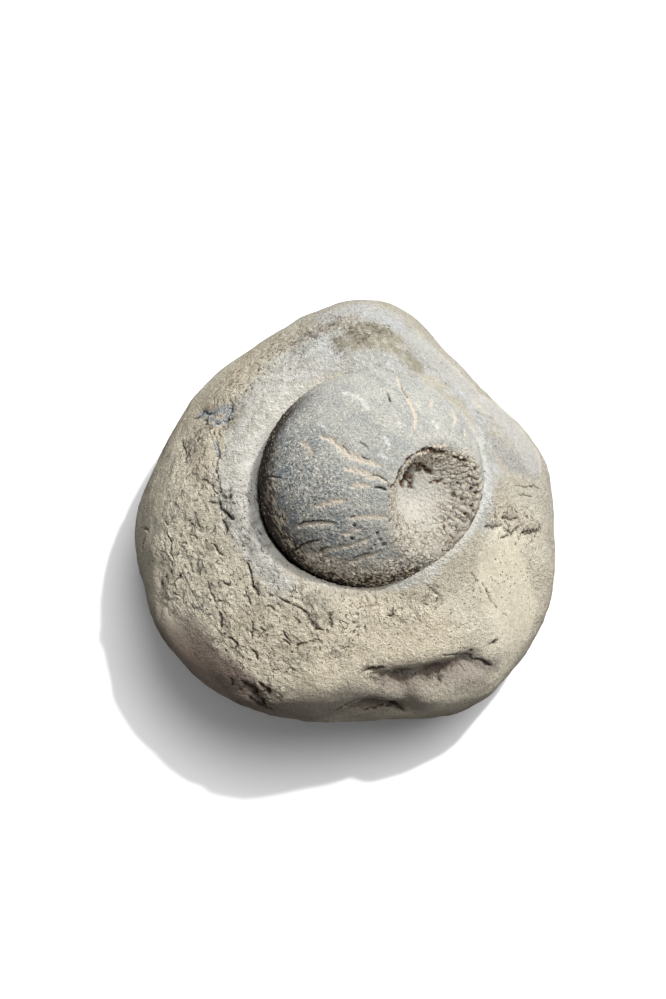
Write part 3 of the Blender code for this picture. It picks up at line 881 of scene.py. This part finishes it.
def shape_sponge(sponge, ground):
    mesh = sponge.data
    directions = directions_of(mesh)
    points = sponge_form(directions)
    normals = take_form(mesh, points)
    polar, _ = mouth_angles(directions)
    strayed = wander(points, 0.25, 1.2)

    ribs, inside, wall, gaps = mouth_relief(directions, points)
    groove, infill = carve(wander(strayed, 0.22, 0.6), ground, GROOVES)
    slit, slit_shade = carve(strayed, ground, SLITS)
    dot, dot_shade = sink(strayed, ground, DOTS)
    hole, hole_shade = sink(wander(points, 0.4, 1.0), ground, MOUTH_HOLES)
    torn, torn_shade = carve(wander(points, 0.6, 1.1), ground, RAGGED_RIM)

    soil = soil_cover(points, directions, inside)
    beside = (points - SPONGE_CENTRE) @ SIGHT_RIGHT + 0.6 * (points - SPONGE_CENTRE) @ SIGHT_UP
    grainy = (1.0 - inside) * smooth_step(6.0, -20.0, beside)
    # Painted shade: near black low on the front left, where the sponge meets the cobble
    foot = smooth_step(0.50, 0.26, directions @ SIGHT_BACK)
    foot = foot * smooth_step(-0.25, 0.2, directions @ FRONT_LEFT)
    grain = 0.05 + 0.07 * grainy + 0.28 * soil + 0.34 * wall + 0.14 * inside
    crumb = crumbs(points, 0.75, 2)
    relief = ribs + 0.22 * lumps(points, 6.0) * (1.0 - inside)
    relief = relief + grain * (crumb + 0.5 * lumps(points, 0.45))
    relief += 0.35 * wall * lumps(points, 1.7) - groove - slit - dot - hole - torn
    points = points + normals * relief[:, None]
    take_form(mesh, (points + TO_FRAME) * MM)

    # painted shade in the creases of the soil and the torn wall
    crease = smooth_step(0.12, 0.0, crumb) * (0.5 * soil + 0.6 * wall)
    keep(mesh, mouth=inside, infill=infill, soil=soil, foot=foot, wall=wall, grainy=grainy,
         floor=inside * smooth_step(0.75, 0.3, polar / MOUTH_RIM) * (1.0 - 0.8 * wall),
         dark=np.maximum.reduce((slit_shade, dot_shade, hole_shade, torn_shade, gaps, crease)),
         white=spread(strayed, ground, WHITE_STREAKS),
         creamy=spread(wander(points, 1.0, 2.0), ground, CREAMY),
         # painted shade low on the sponge, where it sinks into the cobble
         hidden=smooth_step(41.5, 39.0, points[:, 2]), streak=streaks(directions))


def make_sponge():
    sponge = add_ball("sponge")
    ground = ground_of(sponge, sponge_form)

    def above_seam(spots, slopes):
        return spots[:, 2] > 34.0

    def in_sight(spots, slopes):
        return (slopes @ SIGHT_BACK > -0.08) & (spots[:, 2] > 38.0)

    refine(sponge, sponge_form, above_seam)
    refine(sponge, sponge_form, in_sight)
    shape_sponge(sponge, ground)
    return sponge


# Materials

# Colours of the cobble: its ground, from the plain buff to what lies on it
BUFF, LIGHT_BUFF = (0.51, 0.46, 0.355), (0.585, 0.54, 0.43)
CREAM, OCHRE = (0.68, 0.63, 0.52), (0.39, 0.33, 0.235)
ROUGH_CREAM = (0.72, 0.67, 0.545)
EARTH, LIGHT_EARTH = (0.50, 0.425, 0.31), (0.65, 0.59, 0.475)
# painted shade of the front lobes
DULL_BROWN = (0.325, 0.285, 0.235)
HALO_GREY, HALO_WHITE = (0.43, 0.42, 0.365), (0.62, 0.61, 0.575)
SPOT_BROWN, SPOT_CREAM = (0.28, 0.215, 0.135), (0.60, 0.545, 0.43)
# the white of chalk and of the painted highlights on edges and ridges
CHALK = (0.60, 0.60, 0.57)
OLIVE_BROWN, STAIN_BROWN = (0.335, 0.30, 0.215), (0.13, 0.105, 0.07)
GREYING = (0.835, 0.855, 0.91)
FACET_TAN = (0.38, 0.37, 0.345)
# painted light round the sponge, and the collar's pale grey, itself partly painted light
BLEACHED_CREAM, COLLAR_GREY = (0.78, 0.755, 0.70), (0.62, 0.63, 0.615)
# painted shade in pores, fissures and cracks
PORE_BROWN, FISSURE_BROWN = (0.12, 0.09, 0.065), (0.065, 0.043, 0.028)
CRACK_BROWN = (0.042, 0.026, 0.015)
CHIP_BLUE, CHIP_GREY, CHIP_BLACK = (0.10, 0.145, 0.215), (0.50, 0.525, 0.52), (0.022, 0.034, 0.06)
# Painted shade: on low sides, in folds and under the sponge; and on the front left flank and in the
# hollows
PATINA, PURPLISH_BROWN = (0.25, 0.165, 0.135), (0.125, 0.085, 0.07)

# Colours of the sponge: its flank, what lies on it, and its mouth
SPONGE_GREY, LIGHT_GREY = (0.36, 0.365, 0.345), (0.46, 0.45, 0.405)
STREAK_GREY, SLATE_BLUE = (0.28, 0.29, 0.285), (0.215, 0.255, 0.285)
FLANK_BUFF, PALE_GRAIN = (0.52, 0.475, 0.385), (0.55, 0.52, 0.445)
PEPPER, SALT = (0.075, 0.08, 0.085), (0.80, 0.77, 0.69)
MOUTH_BUFF, MOUTH_CREAM = (0.41, 0.37, 0.295), (0.57, 0.535, 0.46)
MOUTH_SLATE, MOUTH_FLOOR = (0.22, 0.24, 0.25), (0.60, 0.58, 0.525)
# the second is painted shade between the mouth's beads
SPECK_BROWN, GAP_BROWN = (0.24, 0.19, 0.13), (0.11, 0.08, 0.055)
# the mouth's torn wall: brown stain and painted shade, mixed with cream
WALL_BROWN, WALL_CREAM = (0.17, 0.088, 0.034), (0.90, 0.82, 0.67)
# buff of the groove infill; white of the streaks and of a painted highlight
INFILL_BUFF, STREAK_WHITE = (0.62, 0.545, 0.44), (0.68, 0.68, 0.655)
# soil and painted shade on the sponge's flank, with cream flecks
SOIL_BROWN, SOIL_CREAM = (0.05, 0.031, 0.020), (0.80, 0.69, 0.53)
# cream of the flecks; the black is painted shade at the seam
FLECK_CREAM, FOOT_BLACK = (0.86, 0.78, 0.66), (0.022, 0.014, 0.010)
# painted shade low on the sponge, and in its slits, dots and cracks
HIDDEN_BROWN, SLIT_BROWN = (0.045, 0.033, 0.026), (0.045, 0.03, 0.02)
# painted shade in the mouth's holes and torn rim, between umber and rust brown
UMBER, RUST = (0.045, 0.023, 0.010), (0.19, 0.082, 0.022)


class Finish:
    """A stone's material, built node by node on its principled shader."""

    def __init__(self, name):
        self.material = bpy.data.materials.new(name)
        self.material.use_nodes = True
        self.tree = self.material.node_tree
        self.shader = self.tree.nodes["Principled BSDF"]
        self.place = self.node("TexCoord").outputs["Object"]

    def node(self, kind, **settings):
        made = self.tree.nodes.new("ShaderNode" + kind)
        for name, value in settings.items():
            setattr(made, name, value)
        return made

    def plug(self, socket, value):
        if isinstance(value, bpy.types.NodeSocket):
            self.tree.links.new(value, socket)
        elif socket.type == "RGBA":
            socket.default_value = (*value, 1.0)
        else:
            socket.default_value = value

    def texture(self, kind, size, place=None, **settings):
        """A texture with features of this size in millimetres."""
        made = self.node("Tex" + kind, **settings)
        self.plug(made.inputs["Vector"], self.place if place is None else place)
        self.plug(made.inputs["Scale"], 1.0 / (size * MM))
        return made

    def noise(self, size, detail=2.0, roughness=0.5, low=0.3, high=0.7, place=None):
        """Noise of this size, stretched between low and high."""
        made = self.texture("Noise", size, place)
        self.plug(made.inputs["Detail"], detail)
        self.plug(made.inputs["Roughness"], roughness)
        return self.ramp(made.outputs["Fac"], low, high)

    def seeds(self, size, low, high):
        """Dots of about this spacing: 1 in the dots, 0 between them."""
        return self.ramp(self.texture("Voronoi", size).outputs["Distance"], high, low)

    def scales(self, place, size, gap):
        """Scales of about this size: each one's height, and 1 in the gaps between them."""
        plates = self.texture("Voronoi", size, place)
        edges = self.texture("Voronoi", size, place, feature="DISTANCE_TO_EDGE")
        return plates.outputs["Color"], self.ramp(edges.outputs["Distance"], gap, 0.0)

    def stirred(self, reach, size):
        """The place moved about by up to reach millimetres."""
        stir = self.texture("Noise", size).outputs["Color"]
        return self.vectors("MULTIPLY_ADD", stir, (reach * MM,) * 3, self.place)

    def drawn_out(self, place):
        """The place drawn out along the way that the cracks run."""
        along_run = self.vectors("DOT_PRODUCT", place, tuple(GRAIN_RUN))
        return self.vectors("MULTIPLY_ADD", along_run, tuple(-0.65 * GRAIN_RUN), place)

    def vectors(self, operation, *values):
        node = self.node("VectorMath", operation=operation)
        for socket, value in zip(node.inputs, values):
            self.plug(socket, value)
        return node.outputs["Value" if operation == "DOT_PRODUCT" else "Vector"]

    def ramp(self, value, low, high, to_low=0.0, to_high=1.0):
        stretch = self.node("MapRange", interpolation_type="SMOOTHSTEP")
        for name, given in zip(("Value", "From Min", "From Max", "To Min", "To Max"),
                               (value, low, high, to_low, to_high)):
            self.plug(stretch.inputs[name], given)
        return stretch.outputs["Result"]

    def math(self, operation, first, second):
        node = self.node("Math", operation=operation)
        self.plug(node.inputs[0], first)
        self.plug(node.inputs[1], second)
        return node.outputs[0]

    def times(self, first, second):
        return self.math("MULTIPLY", first, second)

    def mix(self, factor, first, second, blend="MIX"):
        mixer = self.node("Mix", data_type="RGBA", blend_type=blend)
        self.plug(mixer.inputs["Factor"], factor)
        self.plug(mixer.inputs[6], first)
        self.plug(mixer.inputs[7], second)
        return mixer.outputs[2]

    def shade(self, tone, by):
        """The tone made darker or lighter, as many times as by says."""
        return self.mix(1.0, tone, by, "MULTIPLY")

    def layers(self, tone, *laid):
        """Lays pigments over the tone, each as strongly as its factor and strength say."""
        for factor, strength, pigment in laid:
            tone = self.mix(self.times(factor, strength), tone, pigment)
        return tone

    def kept(self, name):
        return self.node("Attribute", attribute_name=name).outputs["Fac"]

    def patchy(self, name, *noise):
        """A kept value that is broken up by noise."""
        return self.times(self.kept(name), self.noise(*noise))

    def ragged(self, name):
        """A kept value whose strength changes from grain to grain."""
        grains = self.noise(0.5, 2.0, 0.6, 0.36, 0.50)
        return self.times(self.kept(name), self.ramp(grains, 0.0, 1.0, 0.4))

    def relief(self, *heights):
        """Raises the surface by each height, up to 1, times its reach in millimetres."""
        total = 0.0
        for height, reach in heights:
            total = self.math("ADD", self.times(height, reach), total)
        raised = self.node("Bump")
        self.plug(raised.inputs["Height"], total)
        self.plug(raised.inputs["Distance"], MM)
        return raised.outputs["Normal"]

    def finish(self, tone, normal, roughness):
        self.plug(self.shader.inputs["Base Color"], tone)
        self.plug(self.shader.inputs["Normal"], normal)
        self.plug(self.shader.inputs["Roughness"], roughness)
        self.shader.inputs["Specular IOR Level"].default_value = 0.25
        self.shader.inputs["Diffuse Roughness"].default_value = 0.8
        return self.material


def cobble_material():
    stone = Finish("buff_limestone")
    rough = stone.kept("rough")
    calm = stone.ramp(stone.kept("worn"), 0.0, 1.0, 1.0, 0.25)
    fine = stone.noise(0.34, 2.0, 0.7, 0.36, 0.64)
    crumbly = stone.noise(0.85, 3.0, 0.7, 0.34, 0.66)
    drawn = stone.drawn_out(stone.stirred(0.6, 1.1))
    plates, gaps = stone.scales(drawn, 1.7, 0.06)
    flakes, _ = stone.scales(drawn, 0.7, 0.12)
    parted = stone.times(rough, stone.noise(2.4, 3.0, 0.6, 0.50, 0.62))
    flecks = stone.noise(0.42, 2.0, 0.6, 0.60, 0.66, drawn)
    flecks = stone.times(flecks, stone.ramp(rough, 0.0, 1.0, 0.25, 0.9))
    fissures = stone.math("MAXIMUM", stone.times(gaps, parted), stone.times(flecks, calm))
    dots = stone.times(stone.seeds(1.3, 0.09, 0.16), stone.noise(2.0, 2.0, 0.5, 0.45, 0.55))
    pored = stone.patchy("pored", 1.7, 2.0, 0.5, 0.40, 0.52)
    pores = stone.math("MAXIMUM", dots, stone.times(stone.seeds(0.95, 0.12, 0.22), pored))

    earth = stone.mix(stone.noise(1.8, 4.0, 0.7), EARTH, LIGHT_EARTH)
    halo = stone.mix(stone.noise(2.2, 5.0, 0.75, 0.38, 0.62), HALO_GREY, HALO_WHITE)
    spotted = stone.mix(stone.noise(1.0, 4.0, 0.75, 0.38, 0.56), SPOT_BROWN, SPOT_CREAM)
    tone = stone.layers(
        stone.mix(stone.noise(8.0, 4.0, 0.6), BUFF, LIGHT_BUFF),
        (stone.noise(1.6, 3.0, 0.6, 0.45, 0.7), 0.3, CREAM),
        (stone.noise(2.6, 4.0, 0.7, 0.55, 0.75), 0.35, OCHRE),
        (rough, 0.45, ROUGH_CREAM),
        (stone.kept("earthy"), 0.6, earth),
        # painted shade on the front lobes
        (stone.kept("dull"), 0.85, DULL_BROWN),
        (stone.kept("halo"), 0.85, halo),
        (stone.kept("speckled"), 0.7, spotted),
        # chalky white and painted highlights on the top edge and ridges
        (stone.patchy("whitish", 0.9, 4.0, 0.7, 0.25, 0.55), 0.6, CHALK),
        (stone.patchy("olive", 1.8, 5.0, 0.75, 0.34, 0.56), 0.9, OLIVE_BROWN),
        (stone.patchy("stain", 0.8, 5.0, 0.8, 0.44, 0.60), 0.8, STAIN_BROWN))
    tone = stone.mix(stone.kept("greyed"), tone, stone.shade(tone, GREYING))
    tone = stone.layers(tone, (stone.kept("tan"), 0.9, FACET_TAN))
    tone = stone.shade(tone, stone.ramp(crumbly, 0.0, 1.0, 0.91, 1.05))
    tone = stone.shade(tone, stone.ramp(fine, 0.0, 1.0, 0.89, 1.08))
    blue = stone.mix(stone.noise(0.55, 3.0, 0.7, 0.38, 0.54), CHIP_BLUE, CHIP_GREY)
    tone = stone.layers(
        tone,
        # painted light where the sponge's shadow falls, and the collar, partly painted light
        (stone.patchy("bleached", 1.3, 4.0, 0.75, 0.32, 0.56), 0.7, BLEACHED_CREAM),
        (stone.patchy("collar", 0.9, 4.0, 0.75, 0.30, 0.56), 0.7, COLLAR_GREY),
        # painted shade in the pores and fissures
        (pores, 0.8, PORE_BROWN),
        (fissures, 0.9, FISSURE_BROWN),
        (stone.kept("chip"), 0.85, blue),
        (stone.kept("chip_line"), 0.9, CHIP_BLACK),
        # painted shade on low sides, in folds and under the sponge
        (stone.kept("patina"), 0.65, PATINA),
        # painted shade on the front left flank and in the hollows
        (stone.kept("purplish"), 0.85, PURPLISH_BROWN),
        # painted shade in the cracks, pits and crevices
        (stone.ragged("dark"), 0.95, CRACK_BROWN))

    normal = stone.relief(
        (stone.times(crumbly, calm), 0.25), (stone.times(plates, rough), 0.16),
        (stone.times(flakes, calm), 0.15), (stone.times(fine, calm), 0.13),
        (stone.math("ADD", pores, fissures), -0.24))
    return stone.finish(tone, normal, 0.92)


def sponge_material():
    stone = Finish("grey_blue_fossil")
    mouth, soil, grainy = stone.kept("mouth"), stone.kept("soil"), stone.kept("grainy")
    fine = stone.noise(0.34, 2.0, 0.7, 0.36, 0.64)
    pepper = stone.noise(0.55, 2.0, 0.6, 0.54, 0.62)
    salt = stone.noise(0.62, 2.0, 0.6, 0.54, 0.62)
    tone = stone.layers(
        stone.mix(stone.noise(4.5, 4.0, 0.6), SPONGE_GREY, LIGHT_GREY),
        (stone.ramp(stone.kept("streak"), 0.5, 0.8), 0.45, STREAK_GREY),
        (stone.times(grainy, stone.noise(3.2, 4.0, 0.65, 0.46, 0.58)), 0.75, SLATE_BLUE),
        (stone.times(grainy, stone.noise(2.2, 5.0, 0.75, 0.52, 0.62)), 0.55, FLANK_BUFF),
        (stone.noise(1.2, 4.0, 0.7, 0.5, 0.68), 0.5, PALE_GRAIN))
    tone = stone.shade(tone, stone.ramp(fine, 0.0, 1.0, 0.84, 1.12))
    tone = stone.layers(
        tone,
        (stone.times(stone.ramp(grainy, 0.0, 1.0, 0.25, 1.0), pepper), 0.9, PEPPER),
        (stone.times(stone.ramp(grainy, 0.0, 1.0, 0.3, 0.8), salt), 0.85, SALT))

    grains, gaps = stone.scales(stone.stirred(0.5, 0.8), 1.0, 0.16)
    beaded = stone.times(mouth, stone.ramp(stone.kept("floor"), 0.0, 1.0, 1.0, 0.25))
    gaps = stone.times(stone.times(gaps, beaded), stone.noise(1.7, 3.0, 0.7, 0.40, 0.60))
    buff = stone.mix(stone.noise(0.9, 3.0, 0.6), MOUTH_BUFF, MOUTH_CREAM)
    # The torn upper wall: brown stain, and painted shade on the wall that faces from the light
    brown = stone.mix(stone.noise(0.6, 2.0, 0.7, 0.37, 0.48), WALL_BROWN, WALL_CREAM)
    tone = stone.layers(
        tone,
        (mouth, 0.92, buff),
        (stone.times(beaded, stone.noise(1.5, 3.0, 0.7, 0.56, 0.66)), 0.55, MOUTH_SLATE),
        (stone.kept("floor"), 0.65, MOUTH_FLOOR),
        (stone.times(mouth, stone.noise(0.6, 2.0, 0.6, 0.57, 0.66)), 0.5, SPECK_BROWN),
        # brown stain and painted shade on the torn wall
        (stone.kept("wall"), 0.85, brown),
        # painted shade between the beads
        (gaps, 0.8, GAP_BROWN))

    drawn = stone.drawn_out(stone.stirred(0.3, 0.8))
    dirt = stone.mix(stone.noise(0.6, 2.0, 0.6, 0.49, 0.57, drawn), SOIL_BROWN, SOIL_CREAM)
    umber = stone.mix(stone.noise(1.1, 2.0, 0.6, 0.45, 0.6), UMBER, RUST)
    tone = stone.layers(
        tone,
        (stone.patchy("infill", 0.7, 4.0, 0.8, 0.32, 0.52), 0.85, INFILL_BUFF),
        # white streaks and a painted highlight
        (stone.patchy("white", 0.6, 3.0, 0.7, 0.38, 0.58), 0.75, STREAK_WHITE),
        # soil, and painted shade on the flank that turns from the light
        (soil, 0.95, dirt),
        (stone.patchy("creamy", 0.6, 3.0, 0.8, 0.42, 0.54), 0.85, FLECK_CREAM),
        # painted shade at the seam
        (stone.patchy("foot", 0.5, 2.0, 0.6, 0.66, 0.56, drawn), 0.95, FOOT_BLACK),
        # painted shade where the sponge sinks into the cobble
        (stone.kept("hidden"), 0.95, HIDDEN_BROWN),
        # painted shade in slits, dots, holes, the torn rim, bead gaps and creases
        (stone.ragged("dark"), 0.95, stone.mix(mouth, SLIT_BROWN, umber)))

    calm = stone.ramp(grainy, 0.0, 1.0, 0.5, 1.0)
    clumps = stone.noise(0.6, 2.0, 0.7, 0.38, 0.62)
    normal = stone.relief(
        (stone.times(stone.noise(0.65, 3.0, 0.7, 0.3, 0.7), calm), 0.26), (fine, 0.09),
        (stone.times(clumps, soil), 0.20), (stone.times(grains, beaded), 0.12), (gaps, -0.22))
    return stone.finish(tone, normal, 0.88)


def dress(piece, node, material):
    piece.data.materials.clear()
    piece.data.materials.append(material)
    piece.data.shade_smooth()
    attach(piece, "root")
    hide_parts(node)


# Stage

def make_floor():
    deselect()
    bpy.ops.mesh.primitive_plane_add(size=3.0)
    floor = bpy.context.object
    floor.name = "floor"
    paper = bpy.data.materials.new("white_paper")
    paper.use_nodes = True
    shader = paper.node_tree.nodes["Principled BSDF"]
    shader.inputs["Base Color"].default_value = (0.9, 0.9, 0.9, 1.0)
    shader.inputs["Roughness"].default_value = 1.0
    floor.data.materials.append(paper)
    floor.visible_diffuse = False


def make_sun(name, energy, width):
    """Light from the back right."""
    sun = bpy.data.objects.new(name, bpy.data.lights.new(name, "SUN"))
    bpy.context.scene.collection.objects.link(sun)
    sun.rotation_euler = Vector(LIGHT_WAY).to_track_quat("Z", "Y").to_euler()
    sun.data.energy = energy
    sun.data.angle = math.radians(width)


def make_sky():
    """Even light from above the floor only, so that the stones' lower sides stay in shade."""
    world = bpy.data.worlds.new("sky")
    bpy.context.scene.world = world
    world.use_nodes = True
    tree = world.node_tree
    heading = tree.nodes.new("ShaderNodeTexCoord")
    split = tree.nodes.new("ShaderNodeSeparateXYZ")
    above = tree.nodes.new("ShaderNodeMath")
    above.operation = "GREATER_THAN"
    above.inputs[1].default_value = 0.0
    tree.links.new(heading.outputs["Generated"], split.inputs[0])
    tree.links.new(split.outputs["Z"], above.inputs[0])
    tree.links.new(above.outputs[0], tree.nodes["Background"].inputs["Color"])
    tree.nodes["Background"].inputs["Strength"].default_value = SKY_STRENGTH


def make_camera():
    camera = bpy.data.objects.new("camera", bpy.data.cameras.new("camera"))
    bpy.context.scene.collection.objects.link(camera)
    camera.location = Vector((SIGHT_TARGET + SIGHT_BACK * SIGHT_DISTANCE + TO_FRAME) * MM)
    camera.rotation_euler = (math.pi / 2.0 - SIGHT_ELEVATION, 0.0, 0.0)
    camera.data.sensor_width = SENSOR
    camera.data.lens = LENS
    bpy.context.scene.camera = camera


noise.seed_set(STIR_SEED)
dress(make_cobble(), "matrix_stone", cobble_material())
dress(make_sponge(), "sponge_fossil", sponge_material())
make_floor()
make_sun("sharp_sun", *SHARP_SUN)
make_sun("wide_sun", *WIDE_SUN)
make_sky()
make_camera()
bpy.context.scene.view_settings.view_transform = "Standard"
